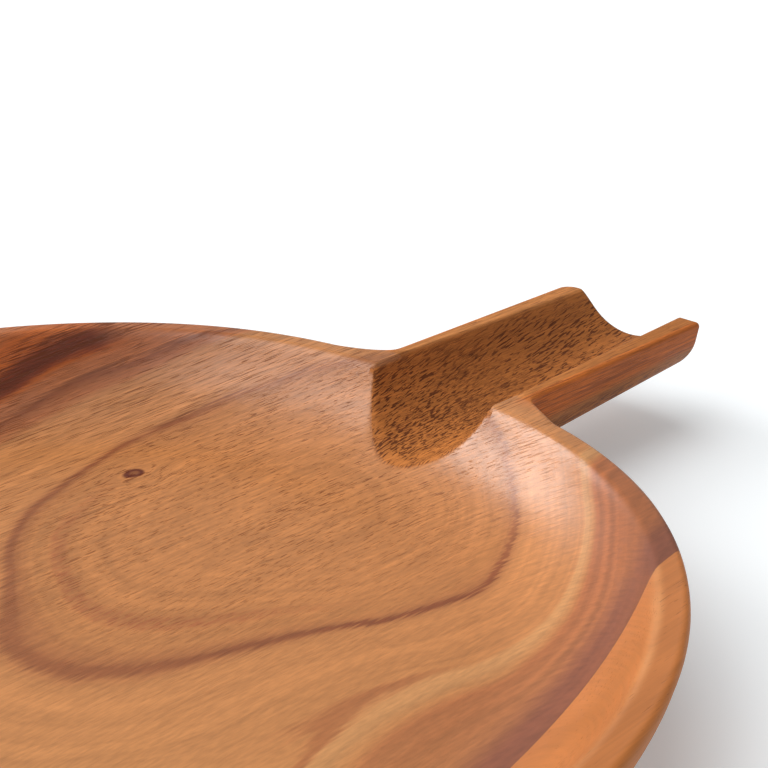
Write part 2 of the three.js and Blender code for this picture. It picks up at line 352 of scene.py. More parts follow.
def soft_min(a, b, blend):
    """The lower of two heights, with the ridge between them rounded over a difference of blend."""
    near = max(blend - abs(a - b), 0) / blend
    return min(a, b) - near * near * blend / 4


def climb_run(radius, rise):
    """How far along a circle runs, from its lowest point, until it has climbed by rise."""
    return math.sqrt(2 * radius * rise - rise * rise)


def round_over(radius, inset):
    """How far a rounded edge lies below its face, at a distance in from the outline."""
    short = clamp(radius - inset, 0, radius)
    return radius - math.sqrt(radius * radius - short * short)


class Carving:
    """The tray's carved surfaces, worked out from its sizes."""

    STRAIGHT_FROM = 112 * MM
    UNDER_BLEND = 4 * MM

    def __init__(self, sizes):
        self.s = s = sizes
        self.half = s.trough_width / 2
        self.floor_z = s.rim_height - s.bowl_depth
        self.floor_radius = s.bowl_radius - s.rim_width - climb_run(s.inner_sweep + s.rim_lip, s.bowl_depth)
        outer_curve = climb_run(s.outer_sweep - s.rim_edge, s.rim_height - 2 * s.rim_edge)
        self.base_radius = s.bowl_radius - s.rim_edge - outer_curve
        self.mouth_x = self.floor_radius + climb_run(s.inner_sweep, s.mouth_sill)
        self.neck_end = s.bowl_radius - s.neck_inset
        self.neck_start = self.find_neck()
        self.neck_half = self.half + self.flare(self.neck_start, 1)
        self.right_reach = self.past_neck(self.neck_start, s.neck_inset_right)
        self.neck_radius = math.hypot(self.neck_start, self.neck_half)
        self.neck_angle = math.atan2(self.neck_half, self.neck_start)
        side_drop = self.drop(self.neck_start) * math.sin(FIRST_TURN) ** (2 / s.section_power)
        self.skirt_z = s.rim_height - s.trough_edge - side_drop
        self.skirt_turn = math.acos(1 - self.skirt_z / s.outer_sweep)

    def eased(self, ease, angle):
        """Share of its full radius that a round outline keeps, by the angle from the trough."""
        return 1 - ease / self.s.bowl_radius * math.exp(-((angle / self.s.shoulder_spread) ** 2))

    def channel_depth(self, x):
        along = clamp((x - self.mouth_x) / (self.s.tip_reach - self.mouth_x), 0, 1)
        return lerp(self.s.bowl_depth - self.s.mouth_sill, self.s.channel_depth_tip, along)

    def channel_half(self, x):
        along = clamp((x - self.s.bowl_radius) / (self.s.tip_reach - self.s.bowl_radius), 0, 1)
        return self.half - lerp(self.s.wall_top_neck, self.s.wall_top_tip, along)

    def drop(self, x):
        """Trough's side edge down to its underside."""
        return self.channel_depth(x) + self.s.trough_floor - self.s.trough_edge

    def past_neck(self, x, inset):
        """How far a place lies behind the end of the trough's straight side, with a soft start."""
        back = self.s.bowl_radius - inset - x
        return (back + math.hypot(back, self.s.neck_soft)) / 2

    def flare(self, x, y):
        """How much the spread at the neck adds to the trough's half width, on the side of y."""
        s = self.s
        inset, splay, reach, rise = s.neck_inset, s.neck_splay, s.neck_length, s.neck_spread
        if y < 0:
            inset, splay, reach = s.neck_inset_right, s.neck_splay_right, self.right_reach
            rise = self.neck_half - self.half
        back = min(self.past_neck(x, inset), reach)
        return splay * back + (rise - splay * reach) * (back / reach) ** 2

    def find_neck(self):
        """Where along the trough its spreading sides meet the rim's drawn-in outline."""
        low, high = self.neck_end - self.s.neck_length, self.neck_end
        while high - low > MERGE:
            x = (low + high) / 2
            y = self.half + self.flare(x, 1)
            outline = self.s.bowl_radius * self.eased(self.s.shoulder_ease, math.atan2(y, x))
            low, high = (x, high) if math.hypot(x, y) < outline else (low, x)
        return low

    def recess(self, z):
        """How far the bowl's outside lies in from the rim at a height over the base."""
        return max(self.s.bowl_radius - self.base_radius - climb_run(self.s.outer_sweep, max(z, 0)), 0)

    def tip_end(self, y):
        """Where the tip's outline lies, by the place across the trough."""
        corner = self.s.tip_corner_left if y > 0 else self.s.tip_corner_right
        return self.s.tip_reach - round_over(corner, self.half - abs(y))

    def inset(self, x, y):
        """Distance in from the tray's outline, seen from above."""
        angle = math.atan2(abs(y), x)
        if angle >= self.neck_angle:
            return self.s.bowl_radius * self.eased(self.s.shoulder_ease, angle) - math.hypot(x, y)
        corner = self.s.tip_corner_left if y > 0 else self.s.tip_corner_right
        past_x = x - (self.s.tip_reach - corner)
        past_y = abs(y) - (self.half + self.flare(x, y) - corner)
        if past_x > 0 and past_y > 0:
            return corner - math.hypot(past_x, past_y)
        slope = (self.flare(x, y) - self.flare(x + MM, y)) / MM
        return min(corner - past_x, (corner - past_y) / math.hypot(1, slope))

    def hollow(self, x, y):
        """Height of the bowl's inside, carried on upwards past the rim."""
        run = math.hypot(x, y) / self.eased(self.s.hollow_ease, math.atan2(y, x)) - self.floor_radius
        sweep = self.s.inner_sweep
        run = clamp(run, 0, sweep * math.sin(HOLLOW_STEEPEST))
        return self.floor_z + sweep - math.sqrt(sweep * sweep - run * run)

    def channel(self, x, y):
        """Height of the channel's round floor, carried on upwards past the rim."""
        depth = self.channel_depth(x)
        half = self.channel_half(x)
        radius = (half * half + depth * depth) / (2 * depth) - self.s.channel_lip
        across = clamp(abs(y), 0, radius * math.sin(STEEPEST))
        steep = max(abs(y) - across, 0) * math.tan(STEEPEST)
        return self.s.rim_height - depth + radius - math.sqrt(radius * radius - across * across) + steep

    def top(self, x, y):
        """Height of the tray's carved top."""
        s = self.s
        z = self.hollow(x, y)
        if x > self.floor_radius:
            z = soft_min(z, self.channel(x, y), s.crest_round)
        wall_soft = s.wall_soft_left if y > 0 else s.wall_soft_right
        past_rim = smoothstep(self.neck_start, s.bowl_radius, x)
        z = soft_min(z, s.rim_height, lerp(s.rim_soft, wall_soft, past_rim))
        side_edge = lerp(s.rim_edge, s.trough_edge, smoothstep(self.neck_start, self.neck_end, x))
        edge = lerp(side_edge, s.tip_edge, smoothstep(s.tip_reach - TIP_EASE * s.tip_edge, s.tip_reach, x))
        return z - round_over(edge, max(self.inset(x, y), 0))

    def outside(self, x, y):
        """Height of the bowl's outside."""
        run = math.hypot(x, y) / self.eased(self.s.shoulder_ease, math.atan2(y, x)) - self.base_radius
        sweep = self.s.outer_sweep
        run = clamp(run, 0, sweep * math.sin(STEEPEST))
        return sweep - math.sqrt(sweep * sweep - run * run)

    def along_trough(self, start, end, station):
        """Place along a lane from the neck to the tip, crowded at both ends."""
        turn = 2 * math.pi
        return start + (end - start) * (station - STATION_CROWD * math.sin(turn * station) / turn)

    def place_top(self, ring, turn):
        """Where a point of the blank's top goes. Rings past 1 are the stations along the trough."""
        radius_share = 1 - (1 - min(ring, 1)) ** RING_CROWD
        if abs(turn) > TROUGH_TURN + MERGE:
            x, y = self.bowl_ray(turn, radius_share, self.top_lane_angle)
        else:
            lane = turn / TROUGH_TURN
            across = LANE_CROWD * math.sin(math.pi / 2 * lane) + (1 - LANE_CROWD) * lane
            x, y = self.top_lane(across, self.neck_radius * radius_share, ring - 1)
        return Vector((x, y, self.top(x, y)))

    def top_lane(self, across, radius, station):
        wide = self.neck_half * across
        if station > 0:
            start = math.sqrt(self.neck_radius ** 2 - wide ** 2)
            x = self.along_trough(start, self.tip_end(self.half * across), station)
            side_end = self.tip_end(math.copysign(self.half, across))
            side_x = self.along_trough(self.neck_start, side_end, station)
            return x, (self.half + self.flare(side_x, across)) * across
        reach = max(radius, self.STRAIGHT_FROM)
        shrink = radius / reach
        return math.sqrt(reach * reach - wide * wide) * shrink, wide * shrink

    def top_lane_angle(self, radius, side):
        return math.asin(self.neck_half / max(radius, self.STRAIGHT_FROM))

    def bowl_ray(self, turn, radius_share, lane_angle):
        """A point on one of the rays beside the trough."""
        side = math.copysign(1, turn)
        spread = ((abs(turn) - TROUGH_TURN) / (math.pi - TROUGH_TURN)) ** RAY_CROWD
        rim_angle = lerp(lane_angle(self.neck_radius, side), math.pi, spread)
        rim_radius = self.s.bowl_radius * self.eased(self.s.shoulder_ease, rim_angle)
        radius = rim_radius * radius_share
        angle = rim_angle + (lane_angle(radius, side) - lane_angle(rim_radius, side)) * (1 - spread)
        return radius * math.cos(angle), radius * math.sin(angle * side)

    def under_share(self, ring):
        """Share of the full radius at a ring of the underside: flat base, then even steps up the curve."""
        if ring < BASE_SHARE:
            return self.base_radius / self.s.bowl_radius * ring / BASE_SHARE
        turn = self.skirt_turn * (ring - BASE_SHARE) / (1 - BASE_SHARE)
        return (self.base_radius + self.s.outer_sweep * math.sin(turn)) / self.s.bowl_radius

    def place_under(self, ring, turn):
        """Where a point of the blank's underside goes."""
        radius_share = self.under_share(min(ring, 1))
        if abs(turn) > TROUGH_TURN + MERGE:
            x, y = self.bowl_ray(turn, radius_share, self.under_lane_angle)
            return Vector((x, y, self.outside(x, y)))
        return Vector(self.under_lane(turn / TROUGH_TURN, self.neck_radius * radius_share, ring - 1))

    def under_lane(self, lane, radius, station):
        """A point on the trough's underside, which meets the bowl's outside in a hollow corner."""
        around = lerp(math.pi - FIRST_TURN, FIRST_TURN, (lane + 1) / 2)
        power = 2 / self.s.section_power
        across = math.copysign(abs(math.cos(around)) ** power, math.cos(around))
        down = math.sin(around) ** power
        wide = self.neck_half * across
        reach = max(radius, self.STRAIGHT_FROM)
        x = math.sqrt(reach * reach - wide * wide)
        end = self.tip_end(self.half * across)
        if station > 0:
            x = self.along_trough(x, end, station)
        below = self.drop(x) * down
        z = self.s.rim_height - self.s.trough_edge - below
        y = (self.half + self.flare(x + self.recess(z), across) - self.s.side_taper * below) * across
        z += round_over(self.s.tip_edge, end - x) * down
        shrink = 1 if station > 0 else radius / reach
        x *= shrink
        y *= shrink
        return x, y, soft_min(z, self.outside(x, y), self.UNDER_BLEND)

    def under_lane_angle(self, radius, side):
        x, y, _ = self.under_lane(side, radius, 0)
        return math.atan2(abs(y), x)


def round_blank():
    """A slab of radius 1 and height 1, with a lane of faces drawn out of its edge to radius 2."""
    bm = bmesh.new()
    corners = [bm.verts.new(place) for place in ((0, 0, 1), (1, 0, 1), (1, 0, 0), (0, 0, 0))]
    top, _, under = [bm.edges.new(pair) for pair in zip(corners, corners[1:])]
    bmesh.ops.subdivide_edges(bm, edges=[top], cuts=TOP_RINGS - 1)
    bmesh.ops.subdivide_edges(bm, edges=[under], cuts=UNDER_RINGS - 1)
    bmesh.ops.spin(
        bm,
        geom=bm.verts[:] + bm.edges[:],
        cent=(0, 0, 0),
        axis=(0, 0, 1),
        angle=2 * math.pi,
        steps=TROUGH_RAYS + BOWL_RAYS,
        use_merge=True,
    )
    bmesh.ops.remove_doubles(bm, verts=bm.verts, dist=MERGE)
    bmesh.ops.recalc_face_normals(bm, faces=bm.faces)
    lane = [face for face in bm.faces if is_lane(face)]
    for station in range(STATIONS):
        drawn = bmesh.ops.extrude_face_region(bm, geom=lane)["geom"]
        lane = [part for part in drawn if isinstance(part, bmesh.types.BMFace)]
        corners = [part for part in drawn if isinstance(part, bmesh.types.BMVert)]
        longer = (STATIONS + station + 1) / (STATIONS + station)
        bmesh.ops.scale(bm, vec=(longer, longer, 1), verts=corners)
    return bm


def is_lane(face):
    """Whether a face of the slab's edge is where the trough leaves it."""
    middle = face.calc_center_median()
    return abs(face.normal.z) < 0.5 and abs(math.atan2(middle.y, middle.x)) < TROUGH_TURN


def carve(bm, carving):
    """Moves every point of the blank to the tray's carved surface."""
    for vert in bm.verts:
        ring = math.hypot(vert.co.x, vert.co.y)
        turn = math.atan2(vert.co.y, vert.co.x)
        place = carving.place_top if vert.co.z > 0.5 else carving.place_under
        vert.co = place(ring, turn)


def saw(bm, carving, keep):
    """Cuts the carved blank along the glued joint and keeps one board: 1 is the main one, -1 the other."""
    skew = carving.s.joint_skew
    across = Vector((-math.sin(skew), math.cos(skew), 0))
    cut = bmesh.ops.bisect_plane(
        bm,
        geom=bm.verts[:] + bm.edges[:] + bm.faces[:],
        dist=MERGE,
        plane_co=across * -carving.s.joint_reach,
        plane_no=across * -keep,
        clear_outer=True,
    )
    edges = [part for part in cut["geom_cut"] if isinstance(part, bmesh.types.BMEdge)]
    face = bmesh.ops.edgeloop_fill(bm, edges=edges)["faces"]
    bmesh.ops.recalc_face_normals(bm, faces=face)
    for edge in edges:
        edge.smooth = False


def board(name, material, keep, node):
    """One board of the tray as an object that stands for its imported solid."""
    carving = Carving(bpy.context.scene.tray_sizes)
    bm = round_blank()
    carve(bm, carving)
    saw(bm, carving, keep)
    for face in bm.faces:
        face.smooth = True
    mesh = bpy.data.meshes.new(name)
    bm.to_mesh(mesh)
    bm.free()
    mesh.materials.append(material)
    piece = bpy.data.objects.new(name, mesh)
    bpy.context.scene.collection.objects.link(piece)
    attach(piece, "root")
    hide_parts(node)
    return piece


class Wiring:
    """Adds nodes to one tree and joins their sockets."""

    def __init__(self, tree):
        self.tree = tree

    def add(self, kind, sockets=None, **settings):
        node = self.tree.nodes.new(kind)
        for name, value in settings.items():
            setattr(node, name, value)
        for name, value in (sockets or {}).items():
            self.join(value, node.inputs[name])
        return node

    def join(self, value, socket):
        """Links another socket to this one, or sets it to a plain value."""
        if isinstance(value, bpy.types.NodeSocket):
            self.tree.links.new(value, socket)
        else:
            socket.default_value = value

    def math(self, operation, *values):
        node = self.add("ShaderNodeMath", operation=operation)
        for value, socket in zip(values, node.inputs):
            self.join(value, socket)
        return node.outputs[0]

    def times(self, value, *others):
        """The product of two or more values."""
        for other in others:
            value = self.math("MULTIPLY", value, other)
        return value

    def swung(self, pattern, reach, base):
        """A base value moved up and down by a pattern's swing about its middle."""
        return self.math("MULTIPLY_ADD", self.math("SUBTRACT", pattern, 0.5), reach, base)

    def vector(self, x, y, z):
        return self.add("ShaderNodeCombineXYZ", {"X": x, "Y": y, "Z": z}).outputs[0]

    def split(self, place):
        return self.add("ShaderNodeSeparateXYZ", {"Vector": place}).outputs

    def stretch(self, place, x, y, z):
        """A place divided by a grain size along each axis."""
        node = self.add("ShaderNodeVectorMath", operation="DIVIDE")
        self.join(place, node.inputs[0])
        self.join(self.vector(x, y, z), node.inputs[1])
        return node.outputs[0]

    def tilted(self, place):
        """A place turned so that its Y axis stands across the grain's sheets."""
        sockets = {"Vector": place, "Angle": -SHEET_TILT}
        return self.add("ShaderNodeVectorRotate", sockets, rotation_type="X_AXIS").outputs[0]

    def span(self, value, low, high, to_low=0.0, to_high=1.0, smooth=False):
        """A value carried from one range to another and kept inside it."""
        kind = "SMOOTHSTEP" if smooth else "LINEAR"
        limits = {"Value": value, "From Min": low, "From Max": high, "To Min": to_low, "To Max": to_high}
        return self.add("ShaderNodeMapRange", limits, interpolation_type=kind).outputs[0]

    def band(self, value, start, full, ease, end):
        """A mask that is 1 over a range of values and fades at both ends."""
        rise = self.span(value, start, full, smooth=True)
        return self.times(rise, self.span(value, end, ease, smooth=True))

    def noise(self, place, detail=2.0, roughness=0.5):
        sockets = {"Vector": place, "Scale": 1.0, "Detail": detail, "Roughness": roughness}
        return self.add("ShaderNodeTexNoise", sockets).outputs[0]

    def mix(self, share, a, b, blend="MIX"):
        node = self.add("ShaderNodeMix", data_type="RGBA", blend_type=blend)
        for index, value in ((0, share), (6, a), (7, b)):
            self.join(value, node.inputs[index])
        return node.outputs[2]

    def shaded(self, tone, pattern, low, high):
        """A colour made darker and lighter by a pattern."""
        level = self.span(pattern, *SHADE_RANGE, low, high)
        return self.mix(1.0, tone, self.vector(level, level, level), "MULTIPLY")

    def ramp(self, value, stops):
        node = self.add("ShaderNodeValToRGB", {"Fac": value})
        elements = node.color_ramp.elements
        elements.remove(elements[1])
        for index, (position, tone) in enumerate(stops):
            stop = elements.new(position) if index else elements[0]
            stop.position = position
            stop.color = tone
        return node.outputs[0]

    def curve(self, value, points):
        node = self.add("ShaderNodeFloatCurve", {"Value": value})
        line = node.mapping.curves[0].points
        line[0].location = points[0]
        line[1].location = points[-1]
        for x, y in points[1:-1]:
            line.new(x, y)
        node.mapping.update()
        return node.outputs[0]

    def use(self, group, **sockets):
        """Places a node group and gives its outputs."""
        node = self.add("ShaderNodeGroup", node_tree=group)
        for name, value in sockets.items():
            self.join(value, node.inputs[name])
        return node.outputs

    def dashed(self, place, length, width, bareness, height=None):
        """A mask of dashes along the grain. Tall ones stay in line where a wall cuts them."""
        sockets = {"Length": length, "Width": width, "Height": height or width, "Bareness": bareness}
        return self.use(shared_group("Pores", pores), Place=place, **sockets)["Mask"]


def new_group(name, values, results, places=()):
    """An empty shader node group that reads a place, with its wiring and the sockets inside it."""
    tree = bpy.data.node_groups.new(name, "ShaderNodeTree")
    kinds = (
        ("INPUT", "NodeSocketVector", ["Place"]),
        ("INPUT", "NodeSocketFloat", values),
        ("OUTPUT", "NodeSocketFloat", results),
        ("OUTPUT", "NodeSocketVector", places),
    )
    for side, kind, labels in kinds:
        for label in labels:
            tree.interface.new_socket(label, in_out=side, socket_type=kind)
    wiring = Wiring(tree)
    return tree, wiring, wiring.add("NodeGroupInput").outputs, wiring.add("NodeGroupOutput").inputs


def shared_group(name, build):
    """A node group that is built at its first use."""
    return bpy.data.node_groups.get(name) or build(name)


def growth_rings(name):
    """Distance from a pith that leans along the board, and a knot that the fibres bend round."""
    tree, w, inputs, outputs = new_group(name, (), ("Ring", "Left", "Knot"), ["Fibre place"])
    x, y, z = w.split(inputs["Place"])
    knot_x = w.math("SUBTRACT", x, KNOT_PLACE[0])
    knot_y = w.math("SUBTRACT", y, KNOT_PLACE[1])
    wide = w.math("POWER", w.math("DIVIDE", knot_x, w.span(knot_x, *KNOT_WIDE)), 2.0)
    deep = w.math("POWER", w.math("DIVIDE", knot_y, KNOT_DEEP), 2.0)
    apart = w.math("ADD", wide, deep)
    push = w.math("EXPONENT", w.math("DIVIDE", apart, -KNOT_PUSH))
    bent_y = w.math("SUBTRACT", y, w.times(knot_y, push, KNOT_BEND))
    bent = w.vector(x, bent_y, z)
    along = w.span(x, PITH_FROM, PITH_TO)
    depth = w.curve(along, [pith_point(place, down / PITH_SCALE) for place, down in PITH_DEPTH])
    drift = w.curve(along, [pith_point(place, 0.5 + side / PITH_SCALE) for place, side in PITH_DRIFT])
    over = w.math("MULTIPLY_ADD", depth, PITH_SCALE, z)
    aside = w.swung(drift, -PITH_SCALE, bent_y)
    radius = w.math("SQRT", w.math("ADD", w.math("POWER", over, 2.0), w.math("POWER", aside, 2.0)))
    left = w.span(y, *LEFT_SIDE, smooth=True)
    lean = w.math("MAXIMUM", w.math("SUBTRACT", x, LEFT_FROM), 0.0)
    lean = w.times(lean, LEFT_LEAN, left, w.span(radius, *LEFT_LEANING, smooth=True))
    slant = w.times(w.math("SUBTRACT", x, RIGHT_FROM), w.span(y, *RIGHT_LEAN, smooth=True))
    slant = w.times(slant, w.span(radius, *RIGHT_LEANING, smooth=True))
    radius = w.math("ADD", radius, w.math("ADD", lean, slant))
    swayed = w.swung(w.noise(w.stretch(bent, *SWAY_GRAIN), 1.0), RING_SWAY, radius)
    feather = w.noise(w.stretch(w.tilted(bent), *FEATHER_GRAIN), 2.0)
    w.join(w.swung(feather, RING_FEATHER, swayed), outputs["Ring"])
    w.join(left, outputs["Left"])
    w.join(w.math("SQRT", apart), outputs["Knot"])
    w.join(bent, outputs["Fibre place"])
    return tree


def pith_point(place, value):
    return (place - PITH_FROM) / (PITH_TO - PITH_FROM), value


def pores(name):
    """Open pores of the wood: short dark dashes along the grain."""
    sizes = ("Length", "Width", "Height")
    tree, w, inputs, outputs = new_group(name, (*sizes, "Bareness"), ["Mask"])
    dashes = w.noise(w.stretch(w.tilted(inputs["Place"]), *(inputs[size] for size in sizes)), 1.0)
    crowd = w.noise(w.stretch(inputs["Place"], *CROWD_GRAIN), 1.0)
    bare = w.swung(crowd, -CROWD_SWING, inputs["Bareness"])
    w.join(w.span(dashes, bare, w.math("ADD", bare, DASH_SOFT), smooth=True), outputs["Mask"])
    return tree


def fibres(name):
    """Fine streaks along the grain, growth lines that follow the rings, and soft cloudy patches."""
    tree, w, inputs, outputs = new_group(name, ["Ring"], ("Streak", "Line", "Cloud", "Mottle"))
    place = inputs["Place"]
    sheets = w.tilted(place)
    ring_place = w.vector(w.split(place)[0], inputs["Ring"], 0.0)
    w.join(w.noise(w.stretch(sheets, *STREAK_GRAIN), 3.0, 0.6), outputs["Streak"])
    w.join(w.noise(w.stretch(ring_place, *LINE_GRAIN), 3.0, 0.65), outputs["Line"])
    w.join(w.noise(w.stretch(place, *CLOUD_GRAIN), 2.0), outputs["Cloud"])
    w.join(w.noise(w.stretch(sheets, *MOTTLE_GRAIN), 2.0), outputs["Mottle"])
    return tree


def new_material(name):
    """A material with its wiring and its shader."""
    material = bpy.data.materials.new(name)
    material.use_nodes = True
    return material, Wiring(material.node_tree), material.node_tree.nodes["Principled BSDF"]


def new_wood(name):
    """A wood material, with the place in millimetres that its patterns read."""
    material, wiring, shader = new_material(name)
    scaled = wiring.add("ShaderNodeVectorMath", operation="SCALE")
    wiring.join(wiring.add("ShaderNodeTexCoord").outputs["Object"], scaled.inputs[0])
    wiring.join(1 / MM, scaled.inputs["Scale"])
    return material, wiring, shader, scaled.outputs[0]


def opaque(tone, level=1.0):
    """A colour as a node socket takes it, lighter or darker by a level."""
    return (*(min(channel * level, 1) for channel in tone), 1)


def finish_wood(w, shader, tone, dashes, streak, cloud, dry):
    """Joins a wood's colour to its shader, with roughness and fine relief from its pores and fibres."""
    w.join(tone, shader.inputs["Base Color"])
    open_grain = w.math("MAXIMUM", dashes, dry)
    rough = w.math("MULTIPLY_ADD", open_grain, OPEN_ROUGH, w.span(cloud, *CLOUD_ROUGH))
    w.join(rough, shader.inputs["Roughness"])
    w.join(w.span(open_grain, *POLISH), shader.inputs["Specular IOR Level"])
    relief = w.math("MULTIPLY_ADD", streak, STREAK_RELIEF, w.times(dashes, -1.0))
    bump = w.add("ShaderNodeBump", {"Strength": 0.5, "Distance": RELIEF_DEPTH, "Height": relief})
    w.join(bump.outputs[0], shader.inputs["Normal"])


def tone_ramp(w, colours, ring, tones):
    """The colours of a run of growth rings."""
    stops = [
        ((radius - RING_FROM) / (RING_TO - RING_FROM), opaque(getattr(colours, tone), level))
        for tone, *run in tones
        for radius, level in run
    ]
    return w.ramp(w.span(ring, RING_FROM, RING_TO), stops)


def main_wood(colours):
    """The main board: an oval figure of growth rings, a knot, and darker wood along the trough."""
    material, w, shader, place = new_wood("main_wood")
    x, y, z = w.split(place)
    rings = w.use(shared_group("Growth rings", growth_rings), Place=place)
    ring, fibre_place = rings["Ring"], rings["Fibre place"]
    grain = w.use(shared_group("Fibres", fibres), Place=fibre_place, Ring=ring)
    tone = figure(w, colours, place, rings, grain)
    carved = carved_trough(w, place)
    sides = w.times(w.span(x, *SIDES_ALONG), w.span(z, *SIDES_TOP, w.span(y, *SIDES_SHARE), 1.0))
    tone = w.mix(w.math("MAXIMUM", carved, sides), tone, trough_tone(w, colours, x, y))
    diagonal = w.math("ADD", x, y)
    clear = w.times(w.span(diagonal, *STREAKS_NEAR), w.span(y, *STREAKS_RIGHT))
    streak = w.swung(grain["Streak"], clear, 0.5)
    tone = w.shaded(tone, grain["Line"], 0.84, 1.05)
    tone = w.shaded(tone, streak, 0.76, 1.1)
    tone = w.shaded(tone, grain["Mottle"], 0.88, 1.07)
    flecks = w.times(trough_flecks(w, fibre_place), carved, w.span(z, *FLECKS_UP))
    tone = w.mix(w.times(flecks, FLECK_SHARE), tone, opaque(colours.fleck))
    patch = w.times(w.band(ring, *PATCH_RINGS), rings["Left"], FLECK_SHARE)
    coarse = w.times(w.dashed(fibre_place, *PATCH_PORES), patch)
    heart, outer = w.dashed(fibre_place, *HEART_PORES), w.dashed(fibre_place, *OUTER_PORES)
    fine = w.mix(w.span(ring, *HEART_RINGS), heart, outer)
    fine = w.times(fine, w.span(diagonal, *PORES_NEAR), w.span(y, *PORES_RIGHT))
    dashes = w.math("MAXIMUM", coarse, fine)
    tone = w.mix(dashes, tone, opaque(colours.pore))
    shares = [(reach, (share, share, share, 1)) for reach, share in KNOT_SHARE]
    tone = w.mix(w.ramp(w.span(rings["Knot"], *KNOT_REACH), shares), tone, opaque(colours.knot))
    dry = w.math("MAXIMUM", carved, tray_outside(w, place))
    finish_wood(w, shader, tone, w.math("MAXIMUM", flecks, dashes), streak, grain["Cloud"], dry)
    return material


def figure(w, colours, place, rings, grain):
    """The colours of the main board's rings, its dark growth lines and the plum wood beside the joint."""
    x, y, _ = w.split(place)
    ring, left, streak = rings["Ring"], rings["Left"], grain["Streak"]
    tone = tone_ramp(w, colours, ring, RING_TONES)
    torn = w.swung(streak, PATCH_TEAR, ring)
    ended = w.times(w.span(torn, *PATCH_END_RINGS), w.span(x, *PATCH_END_ALONG, smooth=True))
    outer = w.mix(ended, tone_ramp(w, colours, torn, LEFT_TONES), opaque(colours.rust, 1.12))
    tone = w.mix(w.times(left, w.span(ring, *LEFT_RINGS)), tone, outer)
    tone = w.mix(w.span(w.math("ADD", x, y), *NEAR_PALE), tone, opaque(colours.pale))
    broken = w.span(grain["Mottle"], *OVAL_BROKEN)
    oval = w.times(w.band(ring, *OVAL_RINGS), w.span(x, *OVAL_ALONG), broken)
    tone = w.mix(oval, tone, opaque(colours.line, 1.25))
    core = w.band(w.swung(streak, w.span(x, *CORE_TEAR), ring), *CORE_RINGS)
    core = w.times(core, w.span(x, *CORE_SHARE))
    dark = w.math("MULTIPLY_ADD", w.band(ring, *DARK_RINGS), DARK_SHARE, core)
    dark = w.times(dark, w.span(y, *DARK_ACROSS), w.span(x, *DARK_NEAR), w.span(x, *DARK_FAR))
    tone = w.mix(dark, tone, opaque(colours.line))
    near = w.times(w.band(ring, *NEAR_RINGS), w.span(x, *NEAR_ALONG), w.span(left, 1.0, 0.0))
    tone = w.mix(near, tone, opaque(colours.line, 1.2))
    joint = w.math("MULTIPLY_ADD", x, -JOINT_SLOPE, w.math("ADD", y, JOINT_AWAY))
    beside = w.span(w.swung(streak, JOINT_TEAR, joint), *JOINT_PLUM, smooth=True)
    return w.mix(beside, tone, opaque(colours.plum))


def trough_tone(w, colours, x, y):
    """The colour of the trough's wood, redder on its outside and darker towards the tip."""
    outside = w.times(w.span(w.math("ABSOLUTE", y), *OUTSIDE_ACROSS), w.span(x, *OUTSIDE_ALONG))
    tone = w.mix(outside, opaque(colours.trough), opaque(colours.ember))
    return w.mix(w.span(x, *TIP_DARK), tone, opaque(colours.fleck))


def trough_flecks(w, place):
    """A mask of the trough's flecks: dashes along rising fibres inside, long lines outside."""
    x, y, z = w.split(place)
    rising = w.vector(x, y, w.math("MULTIPLY_ADD", x, -CHANNEL_RISE, z))
    short, long = w.dashed(rising, *SHORT_FLECKS), w.dashed(rising, *LONG_FLECKS)
    inside = w.mix(w.span(x, *LONGER_ALONG), short, long)
    outside = w.times(w.dashed(place, *OUTSIDE_LINES), OUTSIDE_SHARE)
    return w.mix(w.span(w.math("ABSOLUTE", y), *CHANNEL_ACROSS), inside, outside)


def from_axis(w, place):
    """Distance from the bowl's axis."""
    x, y, _ = w.split(place)
    return w.math("SQRT", w.math("ADD", w.math("POWER", x, 2.0), w.math("POWER", y, 2.0)))


def tray_outside(w, place):
    """A mask of the rim's outer edge and what lies outside and below it, which has less polish."""
    under = w.times(w.span(below_hollow(w, place), *UNDER_DEEP), w.span(w.split(place)[2], *UNDER_TOP))
    return w.math("MAXIMUM", w.span(from_axis(w, place), *RIM_OUTSIDE), under)


def below_hollow(w, place):
    """How far a place lies below the bowl's hollow, carried on upwards past the rim."""
    x, y, z = w.split(place)
    turned = w.math("POWER", w.math("DIVIDE", w.math("ARCTAN2", y, x), DRAWN_TURN), 2.0)
    drawn = w.math("MULTIPLY_ADD", w.math("EXPONENT", w.times(turned, -1.0)), -HOLLOW_DRAWN, 1.0)
    run = w.math("SUBTRACT", w.math("DIVIDE", from_axis(w, place), drawn), FLOOR_RUN)
    run = w.span(run, 0.0, SWEEP_RUN - 1, 0.0, SWEEP_RUN - 1)
    rise = w.math("SQRT", w.math("SUBTRACT", SWEEP_RUN ** 2, w.math("POWER", run, 2.0)))
    return w.math("SUBTRACT", w.math("SUBTRACT", SWEEP_TOP, rise), z)


def carved_trough(w, place):
    """A mask of the trough's channel and outside: below the rim and below the bowl's hollow carried on."""
    x, y, z = w.split(place)
    mask = w.times(w.span(below_hollow(w, place), *CARVED_DEEP), w.span(z, *CARVED_TOP))
    beside = w.span(w.math("ABSOLUTE", y), *CARVED_ACROSS, *CARVED_FROM)
    under = w.span(z, *CARVED_UNDER, *CARVED_FROM)
    return w.times(mask, w.math("GREATER_THAN", x, w.math("MAXIMUM", beside, under)))


